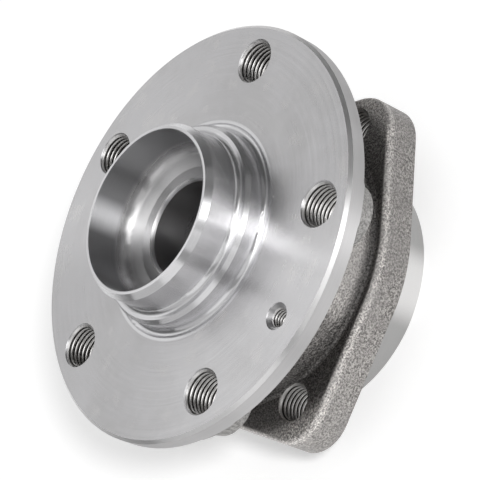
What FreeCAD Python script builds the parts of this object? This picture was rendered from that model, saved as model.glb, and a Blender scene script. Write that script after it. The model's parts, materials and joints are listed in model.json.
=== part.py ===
import FreeCAD, Part
import Sketcher
import math
import os

# Wheel hub bearing for a driven axle: a flanged hub that turns in a flanged outer ring on two
# rows of balls. Millimetres. +Z is the spin axis towards the wheel, the origin is the centre of
# the face that the wheel and disc bolt to, and +X runs through one wheel bolt hole.
# A depth is a distance behind that face, and a height is a distance in front of it.

os.makedirs("parts", exist_ok=True)
doc = FreeCAD.newDocument("wheel_hub_bearing")
sheet = doc.addObject("Spreadsheet::Sheet", "Sizes")

SIZES = [
    # Hub flange and the forged bosses behind its wheel bolt holes
    ("flange_margin", 11.9),
    ("flange_front_chamfer", 1.0),
    ("flange_rim_depth", 6.1),
    ("flange_rear_chamfer", 0.4),
    ("flange_web_margin", 2.0),
    ("flange_web_depth", 6.7),
    ("flange_root_width", 5.5),
    ("flange_root_depth", 9.4),
    ("flange_back_width", 5.0),
    ("flange_back_depth", 13.0),
    ("bolt_circle_radius", 56.0),
    ("wheel_hole_radius", 7.0),
    ("wheel_hole_chamfer", 0.3),
    ("boss_depth", 12.4),
    ("boss_face_radius", 10.3),
    ("boss_edge_chamfer", 0.35),
    ("boss_side_step", 0.9),
    ("boss_side_depth", 7.4),
    ("boss_root_step", 2.0),
    ("boss_root_blend", 2.2),
    ("disc_screw_radius", 3.0),
    ("disc_screw_chamfer", 1.25),
    ("disc_screw_angle", -108.0),
    # Pilot that centres the wheel, and the step that centres the brake disc
    ("pilot_radius", 28.5),
    ("pilot_height", 19.0),
    ("pilot_lead_height", 2.0),
    ("pilot_lead_width", 1.5),
    ("pilot_root_blend", 1.8),
    ("disc_seat_step", 3.9),
    ("disc_seat_height", 6.7),
    ("disc_seat_chamfer_width", 1.1),
    ("disc_seat_chamfer_height", 1.3),
    ("face_groove_width", 2.6),
    ("face_groove_rise", 0.9),
    ("face_groove_blend", 1.6),
    # Recess for the axle bolt and the bore for the drive shaft
    ("pilot_wall", 2.5),
    ("recess_cove_height", 6.7),
    ("recess_cove_width", 2.4),
    ("recess_cove_foot_height", 3.3),
    ("recess_cove_blend", 3.6),
    ("recess_ledge_width", 6.0),
    ("recess_floor_height", 2.0),
    ("bore_radius", 15.5),
    ("bore_chamfer", 1.0),
    ("bore_smooth_depth", 13.0),
    ("spline_tooth_height", 1.2),
    ("spline_root_drop", 0.6),
    ("spline_space_at_tip", 1.35),
    ("spline_space_at_root", 0.95),
    ("spline_end_depth", 55.0),
    ("bore_rear_step", 0.1),
    ("bore_rear_chamfer", 1.4),
    # Balls and raceways
    ("pitch_radius", 31.2),
    ("ball_radius", 5.556),
    ("contact_angle", 38.0),
    ("race_gap", 0.03),
    ("inner_race_ratio", 1.04),
    ("outer_race_ratio", 1.06),
    ("retaining_lip", 0.3),
    ("inner_shoulder_drop", 2.3),
    ("outer_rib_rise", 2.2),
    ("outboard_row_depth", 27.5),
    ("row_spacing", 20.5),
    # Cages
    ("cage_inner_drop", 1.3),
    ("cage_outer_rise", 1.4),
    ("cage_back_wall", 1.25),
    ("cage_pocket_gap", 0.2),
    ("cage_finger_reach", 2.2),
    # Hub spindle, pressed-on inner ring and the rolled collar that clamps it
    ("seal_land_drop", 0.2),
    ("seal_land_blend", 2.5),
    ("seal_land_end_depth", 19.9),
    ("seal_land_step", 0.8),
    ("ring_wall", 7.9),
    ("ring_lead", 9.8),
    ("ring_chamfer", 0.8),
    ("ring_rear_chamfer", 1.4),
    ("collar_height", 2.7),
    ("collar_reach", 4.4),
    ("collar_edge", 1.4),
    ("hub_end_inset", 0.35),
    # Outer ring, its knuckle flange and its spigot
    ("outer_front_reach", 12.0),
    ("outer_front_wall", 6.8),
    ("outer_front_chamfer", 1.0),
    ("outer_body_step", 0.9),
    ("outer_rear_reach", 14.55),
    ("spigot_wall", 2.7),
    ("spigot_chamfer", 0.7),
    ("spigot_relief_depth", 0.5),
    ("spigot_relief_width", 2.0),
    ("spigot_relief_reach", 1.2),
    ("spigot_relief_rise", 0.3),
    ("knuckle_front_depth", 33.8),
    ("knuckle_thickness", 12.5),
    ("knuckle_waist_rise", 3.1),
    ("far_waist_rise", 5.9),
    ("knuckle_edge_blend", 1.8),
    ("knuckle_root_blend", 1.0),
    ("knuckle_bolt_step", 5.2),
    ("knuckle_hole_radius", 6.0),
    ("knuckle_hole_chamfer", 0.4),
    ("knuckle_lobe_angle", -18.25),
    ("narrow_nose_radius", 12.8),
    ("wide_nose_radius", 14.0),
    ("wide_nose_drop", 2.4),
    ("wide_nose_lag_angle", 3.85),
    ("outboard_case_width", 3.4),
    ("outboard_seat_length", 5.5),
    ("inboard_seal_space", 9.4),
    ("inboard_seat_length", 7.5),
    ("seat_chamfer", 0.5),
    # Outboard seal: a pressed steel case with a rubber lip
    ("case_sheet", 0.7),
    ("outboard_case_inset", 0.8),
    ("outboard_case_length", 4.3),
    ("outboard_lip_space", 4.2),
    ("lip_gap", 0.06),
    ("lip_body_width", 2.0),
    ("lip_edge", 0.4),
    ("outboard_lip_reach", 3.0),
    ("outboard_face_lip_inset", 1.3),
    # Inboard seal: a case with a rubber lip that runs on a slinger with a magnetic encoder
    ("inboard_case_inset", 2.0),
    ("inboard_case_length", 5.0),
    ("inboard_case_width", 5.9),
    ("slinger_sheet", 0.6),
    ("slinger_inset", 0.3),
    ("slinger_length", 4.0),
    ("slinger_inset_radially", 1.2),
    ("encoder_rise", 1.6),
    ("encoder_thickness", 1.0),
    ("inboard_face_lip_inset", 3.1),
]

WHEEL_BOLTS = 5
KNUCKLE_BOLTS = 3
BALLS_IN_ROW = 14
SPLINE_TEETH = 36
FULL_TURN = 360.0


class Dim:
    """A length or angle with the sheet expression that drives it."""

    def __init__(self, value, text):
        self.value = value
        self.text = text

    def joined(self, other, sign, value):
        return Dim(value, "(%s %s %s)" % (self.text, sign, text_of(other)))

    def __add__(self, other):
        return self.joined(other, "+", self.value + value_of(other))

    def __sub__(self, other):
        return self.joined(other, "-", self.value - value_of(other))

    def __mul__(self, other):
        return self.joined(other, "*", self.value * value_of(other))

    def __neg__(self):
        return Dim(-self.value, "(0 mm - %s)" % self.text)


def value_of(item):
    return item.value if isinstance(item, Dim) else float(item)


def text_of(item):
    return item.text if isinstance(item, Dim) else "%.9f" % item


class Sizes:
    """Every size of the sheet, by name."""


S = Sizes()
ANGLES = ("disc_screw_angle", "contact_angle", "knuckle_lobe_angle", "wide_nose_lag_angle")
RATIOS = ("inner_race_ratio", "outer_race_ratio")
for row_number, (size_name, size_value) in enumerate(SIZES, start=1):
    sheet.set("A%d" % row_number, size_name)
    sheet.set("B%d" % row_number, "%.6g" % size_value)
    sheet.setAlias("B%d" % row_number, size_name)
    if size_name in RATIOS:
        size_text = "Sizes.%s" % size_name
    elif size_name in ANGLES:
        size_text = "Sizes.%s * 1 deg" % size_name
    else:
        size_text = "Sizes.%s * 1 mm" % size_name
    setattr(S, size_name, Dim(size_value, size_text))
doc.recompute()

# Sizes that follow others, so that neighbours keep their walls, steps and gaps

S.flange_radius = S.bolt_circle_radius + S.flange_margin
S.flange_web_radius = S.bolt_circle_radius + S.flange_web_margin
S.boss_side_radius = S.boss_face_radius + S.boss_side_step
S.boss_root_radius = S.boss_side_radius + S.boss_root_step
S.disc_seat_radius = S.pilot_radius + S.disc_seat_step
S.face_groove_radius = S.disc_seat_radius + S.face_groove_width
S.flange_back_radius = S.face_groove_radius + S.flange_back_width
S.flange_root_radius = S.flange_back_radius + S.flange_root_width
S.recess_radius = S.pilot_radius - S.pilot_wall
S.recess_cove_foot_radius = S.recess_radius - S.recess_cove_width
S.recess_floor_radius = S.recess_radius - S.recess_ledge_width
S.spline_root_radius = S.bore_radius - S.spline_root_drop
S.spline_tip_radius = S.spline_root_radius - S.spline_tooth_height
S.bore_rear_radius = S.bore_radius + S.bore_rear_step
S.seal_land_radius = S.pitch_radius - S.seal_land_drop
shoulder = S.pitch_radius - S.inner_shoulder_drop
S.ring_seat_radius = shoulder - S.ring_wall
S.collar_radius = S.ring_seat_radius + S.collar_reach
S.outboard_case_inner_radius = S.seal_land_radius + S.outboard_lip_space
S.outboard_seat_radius = S.outboard_case_inner_radius + S.outboard_case_width
S.outboard_face_lip_radius = S.outboard_seat_radius - S.outboard_face_lip_inset
S.inboard_seat_radius = shoulder + S.inboard_seal_space
S.inboard_case_inner_radius = S.inboard_seat_radius - S.inboard_case_width
S.inboard_face_lip_radius = S.inboard_seat_radius - S.inboard_face_lip_inset
S.slinger_radius = S.inboard_seat_radius - S.slinger_inset_radially
S.encoder_inner_radius = shoulder + S.encoder_rise
S.spigot_radius = S.inboard_seat_radius + S.spigot_wall
S.outer_front_radius = S.outboard_seat_radius + S.outer_front_wall
S.outer_body_radius = S.outer_front_radius + S.outer_body_step
S.knuckle_waist_radius = S.outer_body_radius + S.knuckle_waist_rise
S.far_waist_radius = S.outer_body_radius + S.far_waist_rise
S.knuckle_bolt_circle_radius = S.outer_body_radius + S.knuckle_bolt_step
S.wide_nose_circle_radius = S.knuckle_bolt_circle_radius - S.wide_nose_drop


# Helpers for sketches, turned profiles and features


def origin_plane(body, role):
    for feature in body.Origin.OriginFeatures:
        if feature.Role == role:
            return feature
    raise ValueError("no plane " + role)


def new_body(name):
    body = doc.addObject("PartDesign::Body", name)
    body.Label = name
    return body


def new_sketch(body, name, role, turn=0.0):
    """A sketch on one of the body's own planes, turned about the spin axis by an angle."""
    sketch = body.newObject("Sketcher::SketchObject", name)
    sketch.AttachmentSupport = [(origin_plane(body, role), "")]
    sketch.MapMode = "FlatFace"
    upright = role != "XY_Plane"
    spin = FreeCAD.Vector(0, 1, 0) if upright else FreeCAD.Vector(0, 0, 1)
    sketch.AttachmentOffset = FreeCAD.Placement(FreeCAD.Vector(), FreeCAD.Rotation(spin, turn))
    return sketch


def bind(sketch, constraint, size, name):
    index = sketch.addConstraint(constraint)
    sketch.renameConstraint(index, name)
    if isinstance(size, Dim):
        sketch.setExpression("Constraints." + name, size.text)
    return index


def corner(radius, height):
    return ("corner", radius, height)


def blend(radius, side):
    """The arc that joins the corners before and after it; side 1 curls to the left of the way."""
    return ("blend", radius, side)


def race(centre_r, centre_z, radius, first_r, first_side, last_r, last_side):
    """A raceway arc given by its centre and by the radii where it starts and ends."""
    return ("race", centre_r, centre_z, radius, first_r, first_side, last_r, last_side)


def race_height(centre_r, centre_z, radius, at_r, side):
    rise = math.sqrt(value_of(radius) ** 2 - (value_of(at_r) - value_of(centre_r)) ** 2)
    return value_of(centre_z) + side * rise


def arc_between(start, end, centre, radius):
    """An arc the short way round; also says which of its ends is the start."""
    first = math.atan2(start.y - centre.y, start.x - centre.x)
    last = math.atan2(end.y - centre.y, end.x - centre.x)
    circle = Part.Circle(centre, FreeCAD.Vector(0, 0, 1), radius)
    forward = (last - first) % math.tau < math.pi
    if forward:
        return Part.ArcOfCircle(circle, first, last), True
    return Part.ArcOfCircle(circle, last, first), False


def blend_centre(start, end, radius, side):
    chord = end - start
    half = chord.Length / 2
    lift = math.sqrt(max(radius ** 2 - half ** 2, 0.0))
    left = FreeCAD.Vector(-chord.y, chord.x, 0).normalize()
    return start + chord * 0.5 + left * (lift * side)


def draw_path(sketch, path):
    """Draws a closed outline of corners, blends and raceway arcs, every size bound."""
    corners = []
    edges = []
    for step in path:
        if step[0] == "corner":
            corners.append((step[1], value_of(step[2]), step[2]))
            edges.append(None)
        elif step[0] == "blend":
            edges[-1] = step
        else:
            centre_r, centre_z, radius, first_r, first_side, last_r, last_side = step[1:]
            first_z = race_height(centre_r, centre_z, radius, first_r, first_side)
            last_z = race_height(centre_r, centre_z, radius, last_r, last_side)
            corners.append((first_r, first_z, None))
            edges.append(step)
            corners.append((last_r, last_z, None))
            edges.append(None)
    spots = [FreeCAD.Vector(value_of(c[0]), c[1], 0) for c in corners]
    ends = []
    count = len(corners)
    for number in range(count):
        start = spots[number]
        end = spots[(number + 1) % count]
        edge = edges[number]
        if edge is None:
            sketch.addGeometry(Part.LineSegment(start, end), False)
            ends.append((1, 2))
            continue
        if edge[0] == "blend":
            radius = value_of(edge[1])
            centre = blend_centre(start, end, radius, edge[2])
        else:
            radius = value_of(edge[3])
            centre = FreeCAD.Vector(value_of(edge[1]), value_of(edge[2]), 0)
        arc, forward = arc_between(start, end, centre, radius)
        sketch.addGeometry(arc, False)
        ends.append((1, 2) if forward else (2, 1))
    base = sketch.GeometryCount - count
    for number in range(count):
        after = (number + 1) % count
        sketch.addConstraint(Sketcher.Constraint(
            "Coincident", base + number, ends[number][1], base + after, ends[after][0]))
    for number in range(count):
        size_r, spot_z, size_z = corners[number]
        tag = "%s%02d" % (sketch.Name[:4], number)
        point = (base + number, ends[number][0])
        bind(sketch, Sketcher.Constraint(
            "DistanceX", -1, 1, point[0], point[1], value_of(size_r)), size_r, "r" + tag)
        if size_z is not None:
            bind(sketch, Sketcher.Constraint(
                "DistanceY", -1, 1, point[0], point[1], spot_z), size_z, "z" + tag)
        edge = edges[number]
        if edge is None:
            continue
        size = edge[1] if edge[0] == "blend" else edge[3]
        bind(sketch, Sketcher.Constraint("Radius", base + number, value_of(size)), size, "a" + tag)
        if edge[0] == "race":
            bind(sketch, Sketcher.Constraint(
                "DistanceX", -1, 1, base + number, 3, value_of(edge[1])), edge[1], "u" + tag)
            bind(sketch, Sketcher.Constraint(
                "DistanceY", -1, 1, base + number, 3, value_of(edge[2])), edge[2], "v" + tag)


def turn_about(body, kind, name, sketch, axis):
    feature = body.newObject("PartDesign::" + kind, name)
    feature.Profile = sketch
    feature.ReferenceAxis = (sketch, [axis])
    feature.Angle = FULL_TURN
    doc.recompute()
    return feature


def turned(name, path):
    """A body turned about the spin axis from one half section."""
    body = new_body(name)
    sketch = new_sketch(body, name + "_section", "XZ_Plane")
    draw_path(sketch, path)
    turn_about(body, "Revolution", name + "_turned", sketch, "V_Axis")
    return body


def turned_off_axis(body, kind, name, circle_radius, angle, path):
    """A boss or hole turned about an axis that stands on a bolt circle."""
    sketch = new_sketch(body, name + "_section", "XZ_Plane", value_of(angle))
    draw_path(sketch, path)
    foot = FreeCAD.Vector(value_of(circle_radius), 0, 0)
    top = foot + FreeCAD.Vector(0, 1, 0)
    line = sketch.addGeometry(Part.LineSegment(foot, top), True)
    sketch.addConstraint(Sketcher.Constraint("Vertical", line))
    sketch.addConstraint(Sketcher.Constraint("PointOnObject", line, 1, -1))
    bind(sketch, Sketcher.Constraint("Distance", line, 1.0), None, "axis_length")
    bind(sketch, Sketcher.Constraint(
        "DistanceX", -1, 1, line, 1, value_of(circle_radius)), circle_radius, "axis_radius")
    return turn_about(body, kind, name, sketch, "Axis0")


def ring_of(body, name, feature, count):
    pattern = body.newObject("PartDesign::PolarPattern", name)
    pattern.Originals = [feature]
    pattern.Axis = (feature.Profile[0], ["V_Axis"])
    if feature.TypeId == "PartDesign::Pocket":
        pattern.Axis = (feature.Profile[0], ["N_Axis"])
    pattern.Angle = FULL_TURN
    pattern.Occurrences = count
    body.Tip = pattern
    doc.recompute()
    return pattern


def must_shrink(before, body, what):
    if body.Shape.Volume >= before:
        raise ValueError(what + " removed nothing")


def round_edges(body, name, radius, wanted):
    """Rounds the edges of the body that the given test picks."""
    tip = body.Tip
    names = []
    for number, edge in enumerate(tip.Shape.Edges, start=1):
        if wanted(edge):
            names.append("Edge%d" % number)
    if not names:
        raise ValueError(name + " found no edge")
    fillet = body.newObject("PartDesign::Fillet", name)
    fillet.Base = (tip, names)
    fillet.Radius = value_of(radius)
    fillet.setExpression("Radius", radius.text)
    body.Tip = fillet
    doc.recompute()
    return fillet


# Places shared by several pieces

face = Dim(0.0, "0 mm")
rim_back = -S.flange_rim_depth
back = -S.flange_back_depth
row_out = -S.outboard_row_depth
row_in = row_out - S.row_spacing
outer_front = row_out + S.outer_front_reach
outer_rear = row_in - S.outer_rear_reach
hub_rear = outer_rear + S.hub_end_inset
ring_rear = hub_rear + S.collar_height
ring_front = row_in + S.ring_lead
knuckle_front = -S.knuckle_front_depth
knuckle_back = knuckle_front - S.knuckle_thickness
inner_land = S.pitch_radius - S.ball_radius + S.retaining_lip
outer_land = S.pitch_radius + S.ball_radius - S.retaining_lip
rib = S.pitch_radius + S.outer_rib_rise
inner_race_radius = S.ball_radius * S.inner_race_ratio
outer_race_radius = S.ball_radius * S.outer_race_ratio


def race_centre(row, race_radius, radial_sign, axial_sign):
    """Centre of a raceway arc that clears the ball by the race gap at the contact angle."""
    angle = math.radians(S.contact_angle.value)
    shift = race_radius - S.ball_radius - S.race_gap
    cosine = Dim(math.cos(angle) * radial_sign, "(%d * cos(%s))" % (radial_sign, S.contact_angle.text))
    sine = Dim(math.sin(angle) * axial_sign, "(%d * sin(%s))" % (axial_sign, S.contact_angle.text))
    return S.pitch_radius - shift * cosine, row - shift * sine


# Wheel hub: flange, pilot, bore, outboard inner raceway, ring seat and rolled collar

hub_race_r, hub_race_z = race_centre(row_out, inner_race_radius, -1, 1)
hub = turned("wheel_hub", [
    corner(S.recess_radius, S.pilot_height),
    corner(S.pilot_radius - S.pilot_lead_width, S.pilot_height),
    corner(S.pilot_radius, S.pilot_height - S.pilot_lead_height),
    corner(S.pilot_radius, S.disc_seat_height + S.pilot_root_blend),
    blend(S.pilot_root_blend, 1),
    corner(S.pilot_radius + S.pilot_root_blend, S.disc_seat_height),
    corner(S.disc_seat_radius - S.disc_seat_chamfer_width, S.disc_seat_height),
    corner(S.disc_seat_radius, S.disc_seat_height - S.disc_seat_chamfer_height),
    corner(S.disc_seat_radius, face + S.face_groove_rise),
    blend(S.face_groove_blend, 1),
    corner(S.face_groove_radius, face),
    corner(S.flange_radius - S.flange_front_chamfer, face),
    corner(S.flange_radius, face - S.flange_front_chamfer),
    corner(S.flange_radius, rim_back + S.flange_rear_chamfer),
    corner(S.flange_radius - S.flange_rear_chamfer, rim_back),
    corner(S.flange_web_radius, -S.flange_web_depth),
    corner(S.flange_root_radius, -S.flange_root_depth),
    corner(S.flange_back_radius, back),
    corner(S.seal_land_radius + S.seal_land_blend, back),
    blend(S.seal_land_blend, 1),
    corner(S.seal_land_radius, back - S.seal_land_blend),
    corner(S.seal_land_radius, -S.seal_land_end_depth),
    corner(shoulder, -S.seal_land_end_depth - S.seal_land_step),
    race(hub_race_r, hub_race_z, inner_race_radius, shoulder, 1, inner_land, -1),
    corner(inner_land, ring_front),
    corner(S.ring_seat_radius, ring_front),
    corner(S.ring_seat_radius, ring_rear + S.ring_rear_chamfer),
    corner(S.ring_seat_radius + S.ring_rear_chamfer, ring_rear),
    corner(S.collar_radius, ring_rear),
    corner(S.collar_radius, hub_rear + S.collar_edge),
    blend(S.collar_edge, -1),
    corner(S.collar_radius - S.collar_edge, hub_rear),
    corner(S.bore_rear_radius + S.bore_rear_chamfer, hub_rear),
    corner(S.bore_rear_radius, hub_rear + S.bore_rear_chamfer),
    corner(S.bore_rear_radius, -S.spline_end_depth - S.bore_rear_radius + S.spline_tip_radius),
    corner(S.spline_tip_radius, -S.spline_end_depth),
    corner(S.spline_tip_radius, -S.bore_smooth_depth - S.bore_radius + S.spline_tip_radius),
    corner(S.bore_radius, -S.bore_smooth_depth),
    corner(S.bore_radius, S.recess_floor_height - S.bore_chamfer),
    corner(S.bore_radius + S.bore_chamfer, S.recess_floor_height),
    corner(S.recess_floor_radius, S.recess_floor_height),
    corner(S.recess_cove_foot_radius, S.recess_cove_foot_height),
    blend(S.recess_cove_blend, 1),
    corner(S.recess_radius, S.recess_cove_height),
])

boss_axis = S.bolt_circle_radius
boss = turned_off_axis(hub, "Revolution", "wheel_boss", boss_axis, 0.0, [
    corner(boss_axis, face - S.flange_front_chamfer),
    corner(boss_axis + S.boss_root_radius, face - S.flange_front_chamfer),
    corner(boss_axis + S.boss_root_radius, rim_back),
    blend(S.boss_root_blend, 1),
    corner(boss_axis + S.boss_side_radius, -S.boss_side_depth),
    corner(boss_axis + S.boss_face_radius, -S.boss_depth + S.boss_edge_chamfer),
    corner(boss_axis + S.boss_face_radius - S.boss_edge_chamfer, -S.boss_depth),
    corner(boss_axis, -S.boss_depth),
])
ring_of(hub, "wheel_bosses", boss, WHEEL_BOLTS)

# The bosses are turned off flush with the rim
swing = S.bolt_circle_radius + S.boss_root_radius + S.boss_root_radius
volume = hub.Shape.Volume
rim_section = new_sketch(hub, "rim_section", "XZ_Plane")
draw_path(rim_section, [
    corner(S.flange_radius, -S.boss_depth - S.flange_front_chamfer),
    corner(swing, -S.boss_depth - S.flange_front_chamfer),
    corner(swing, face + S.flange_front_chamfer),
    corner(S.flange_radius, face + S.flange_front_chamfer),
])
turn_about(hub, "Groove", "rim_turned", rim_section, "V_Axis")
must_shrink(volume, hub, "rim")


def hole_path(axis, radius, chamfer, top, bottom, rear_chamfer):
    """Half section of a through hole with a countersink at each end."""
    return [
        corner(axis, top + chamfer),
        corner(axis + radius + chamfer * 2, top + chamfer),
        corner(axis + radius, top - chamfer),
        corner(axis + radius, bottom + rear_chamfer),
        corner(axis + radius + rear_chamfer * 2, bottom - rear_chamfer),
        corner(axis, bottom - rear_chamfer),
    ]


volume = hub.Shape.Volume
wheel_hole = turned_off_axis(
    hub, "Groove", "wheel_hole", boss_axis, 0.0,
    hole_path(boss_axis, S.wheel_hole_radius, S.wheel_hole_chamfer,
              face, -S.boss_depth, S.wheel_hole_chamfer))
ring_of(hub, "wheel_holes", wheel_hole, WHEEL_BOLTS)
must_shrink(volume, hub, "wheel holes")

volume = hub.Shape.Volume
turned_off_axis(
    hub, "Groove", "disc_screw_hole", boss_axis, S.disc_screw_angle,
    hole_path(boss_axis, S.disc_screw_radius, S.disc_screw_chamfer,
              face, -S.flange_root_depth, S.flange_rear_chamfer))
must_shrink(volume, hub, "disc screw hole")

volume = hub.Shape.Volume
space = new_sketch(hub, "spline_space", "XY_Plane")
half_tip = S.spline_space_at_tip * 0.5
half_root = S.spline_space_at_root * 0.5
clear_of_tip = S.spline_tip_radius - S.bore_chamfer
draw_path(space, [
    corner(clear_of_tip, -half_tip),
    corner(S.spline_tip_radius, -half_tip),
    corner(S.spline_root_radius, -half_root),
    corner(S.spline_root_radius, half_root),
    corner(S.spline_tip_radius, half_tip),
    corner(clear_of_tip, half_tip),
])
spline = hub.newObject("PartDesign::Pocket", "spline_space_cut")
spline.Profile = space
spline.Type = "ThroughAll"
doc.recompute()
ring_of(hub, "drive_spline", spline, SPLINE_TEETH)
must_shrink(volume, hub, "spline")

# Inner ring pressed on the spindle, with the inboard inner raceway

ring_race_r, ring_race_z = race_centre(row_in, inner_race_radius, -1, -1)
inner_ring = turned("inboard_inner_ring", [
    corner(S.ring_seat_radius + S.ring_chamfer, ring_front),
    corner(S.ring_seat_radius, ring_front - S.ring_chamfer),
    corner(S.ring_seat_radius, ring_rear + S.ring_rear_chamfer),
    corner(S.ring_seat_radius + S.ring_rear_chamfer, ring_rear),
    corner(shoulder - S.seat_chamfer, ring_rear),
    corner(shoulder, ring_rear + S.seat_chamfer),
    race(ring_race_r, ring_race_z, inner_race_radius, shoulder, -1, inner_land, 1),
    corner(inner_land, ring_front),
])

# Outer ring: both outer raceways, seal seats, knuckle flange and spigot

out_race_r, out_race_z = race_centre(row_out, outer_race_radius, 1, -1)
in_race_r, in_race_z = race_centre(row_in, outer_race_radius, 1, 1)
outboard_seat_end = outer_front - S.outboard_seat_length
inboard_seat_end = outer_rear + S.inboard_seat_length
relief_edge = S.spigot_radius + S.spigot_relief_reach
outer = turned("outer_ring", [
    corner(S.outboard_seat_radius + S.seat_chamfer, outer_front),
    corner(S.outboard_seat_radius, outer_front - S.seat_chamfer),
    corner(S.outboard_seat_radius, outboard_seat_end),
    corner(outer_land, outboard_seat_end),
    race(out_race_r, out_race_z, outer_race_radius, outer_land, 1, rib, -1),
    race(in_race_r, in_race_z, outer_race_radius, rib, 1, outer_land, -1),
    corner(outer_land, inboard_seat_end),
    corner(S.inboard_seat_radius, inboard_seat_end),
    corner(S.inboard_seat_radius, outer_rear + S.seat_chamfer),
    corner(S.inboard_seat_radius + S.seat_chamfer, outer_rear),
    corner(S.spigot_radius - S.spigot_chamfer, outer_rear),
    corner(S.spigot_radius, outer_rear + S.spigot_chamfer),
    corner(S.spigot_radius, knuckle_back - S.spigot_relief_width),
    corner(S.spigot_radius - S.spigot_relief_depth,
           knuckle_back - S.spigot_relief_width + S.spigot_relief_depth),
    corner(S.spigot_radius - S.spigot_relief_depth, knuckle_back + S.spigot_relief_rise),
    corner(S.spigot_radius, knuckle_back + S.spigot_relief_rise),
    corner(relief_edge, knuckle_back),
    corner(S.outer_body_radius, knuckle_back),
    corner(S.outer_body_radius, knuckle_front),
    corner(S.outer_front_radius, outer_front - S.outer_front_chamfer),
    corner(S.outer_front_radius - S.outer_front_chamfer, outer_front),
])

# Knuckle flange outline: a round waist and three lobes with round noses, joined by tangent
# sides. The first lobe is wider, and its nose lags behind its bolt hole. The waist is higher
# on the side across from that lobe.

outline = new_sketch(outer, "knuckle_outline", "XY_Plane")
outline.AttachmentOffset = FreeCAD.Placement(
    FreeCAD.Vector(0, 0, knuckle_back.value), FreeCAD.Rotation())
outline.setExpression("AttachmentOffset.Base.z", knuckle_back.text)
LOBE_PITCH = FULL_TURN / KNUCKLE_BOLTS
origin_point = FreeCAD.Vector(0, 0, 0)
upward = FreeCAD.Vector(0, 0, 1)


def at_angle(radius, degrees):
    turn = math.radians(degrees)
    return FreeCAD.Vector(radius * math.cos(turn), radius * math.sin(turn), 0)


def nose(circle_radius, angle, radius):
    """A lobe's round end: its centre on a circle at an angle, and its own radius."""
    spot = at_angle(circle_radius.value, angle.value)
    across = Dim(spot.x, "(%s * cos(%s))" % (circle_radius.text, angle.text))
    along = Dim(spot.y, "(%s * sin(%s))" % (circle_radius.text, angle.text))
    return (spot, radius, across, along)


def degrees_more(angle, turn):
    return Dim(angle.value + turn, "(%s + %.6f deg)" % (angle.text, turn))


waist = (origin_point, S.knuckle_waist_radius, None, None)
far_waist = (origin_point, S.far_waist_radius, None, None)
lobe_way = S.knuckle_lobe_angle
rounds = [
    nose(S.wide_nose_circle_radius, lobe_way - S.wide_nose_lag_angle, S.wide_nose_radius),
    waist,
]
for lobe_number in range(1, KNUCKLE_BOLTS):
    lobe_angle = degrees_more(lobe_way, LOBE_PITCH * lobe_number)
    rounds.append(nose(S.knuckle_bolt_circle_radius, lobe_angle, S.narrow_nose_radius))
    rounds.append(waist if lobe_number == KNUCKLE_BOLTS - 1 else far_waist)


def tangent_way(first, second):
    """The direction, in degrees, of the outward normal of the side that joins two rounds."""
    gap = second[0] - first[0]
    open_angle = math.acos((first[1].value - second[1].value) / gap.Length)
    return math.degrees(math.atan2(gap.y, gap.x) - open_angle)


rounds_count = len(rounds)
ways = []
for number in range(rounds_count):
    ways.append(tangent_way(rounds[number], rounds[(number + 1) % rounds_count]))
for number, (spot, size, across, along) in enumerate(rounds):
    enter = ways[number - 1]
    leave = enter + (ways[number] - enter) % FULL_TURN
    circle = Part.Circle(spot, upward, size.value)
    outline.addGeometry(
        Part.ArcOfCircle(circle, math.radians(enter), math.radians(leave)), False)
for number, (spot, size, across, along) in enumerate(rounds):
    after = (number + 1) % rounds_count
    start = spot + at_angle(size.value, ways[number])
    end = rounds[after][0] + at_angle(rounds[after][1].value, ways[number])
    side = outline.addGeometry(Part.LineSegment(start, end), False)
    outline.addConstraint(Sketcher.Constraint("Tangent", number, 2, side, 1))
    outline.addConstraint(Sketcher.Constraint("Tangent", side, 2, after, 1))
for number, (spot, size, across, along) in enumerate(rounds):
    bind(outline, Sketcher.Constraint("Radius", number, size.value), size, "round%02d" % number)
    if across is None:
        outline.addConstraint(Sketcher.Constraint("Coincident", number, 3, -1, 1))
        continue
    bind(outline, Sketcher.Constraint("DistanceX", -1, 1, number, 3, across.value),
         across, "across%02d" % number)
    bind(outline, Sketcher.Constraint("DistanceY", -1, 1, number, 3, along.value),
         along, "along%02d" % number)
loop = outline.addGeometry(Part.Circle(origin_point, upward, relief_edge.value), False)
outline.addConstraint(Sketcher.Constraint("Coincident", loop, 3, -1, 1))
bind(outline, Sketcher.Constraint("Radius", loop, relief_edge.value), relief_edge, "inner_loop")
doc.recompute()

flange = outer.newObject("PartDesign::Pad", "knuckle_flange")
flange.Profile = outline
flange.Length = S.knuckle_thickness.value
flange.setExpression("Length", S.knuckle_thickness.text)
outer.Tip = flange
doc.recompute()

CLOSE = 0.01


def is_front_outline(edge):
    middle = edge.valueAt((edge.FirstParameter + edge.LastParameter) / 2)
    on_face = all(abs(v.Point.z - knuckle_front.value) < CLOSE for v in edge.Vertexes)
    outside = math.hypot(middle.x, middle.y) > S.outer_body_radius.value + 1.0
    return on_face and outside


def is_front_root(edge):
    middle = edge.valueAt((edge.FirstParameter + edge.LastParameter) / 2)
    on_face = all(abs(v.Point.z - knuckle_front.value) < CLOSE for v in edge.Vertexes)
    return on_face and abs(math.hypot(middle.x, middle.y) - S.outer_body_radius.value) < CLOSE


round_edges(outer, "flange_edge", S.knuckle_edge_blend, is_front_outline)
round_edges(outer, "flange_root", S.knuckle_root_blend, is_front_root)

volume = outer.Shape.Volume
knuckle_axis = S.knuckle_bolt_circle_radius
knuckle_hole = turned_off_axis(
    outer, "Groove", "knuckle_hole", knuckle_axis, S.knuckle_lobe_angle,
    hole_path(knuckle_axis, S.knuckle_hole_radius, S.knuckle_hole_chamfer,
              knuckle_front, knuckle_back, S.knuckle_hole_chamfer))
ring_of(outer, "knuckle_holes", knuckle_hole, KNUCKLE_BOLTS)
must_shrink(volume, outer, "knuckle holes")

# Outboard seal: an L-shaped case pressed in the front seat, and its lip on the hub's land

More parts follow.
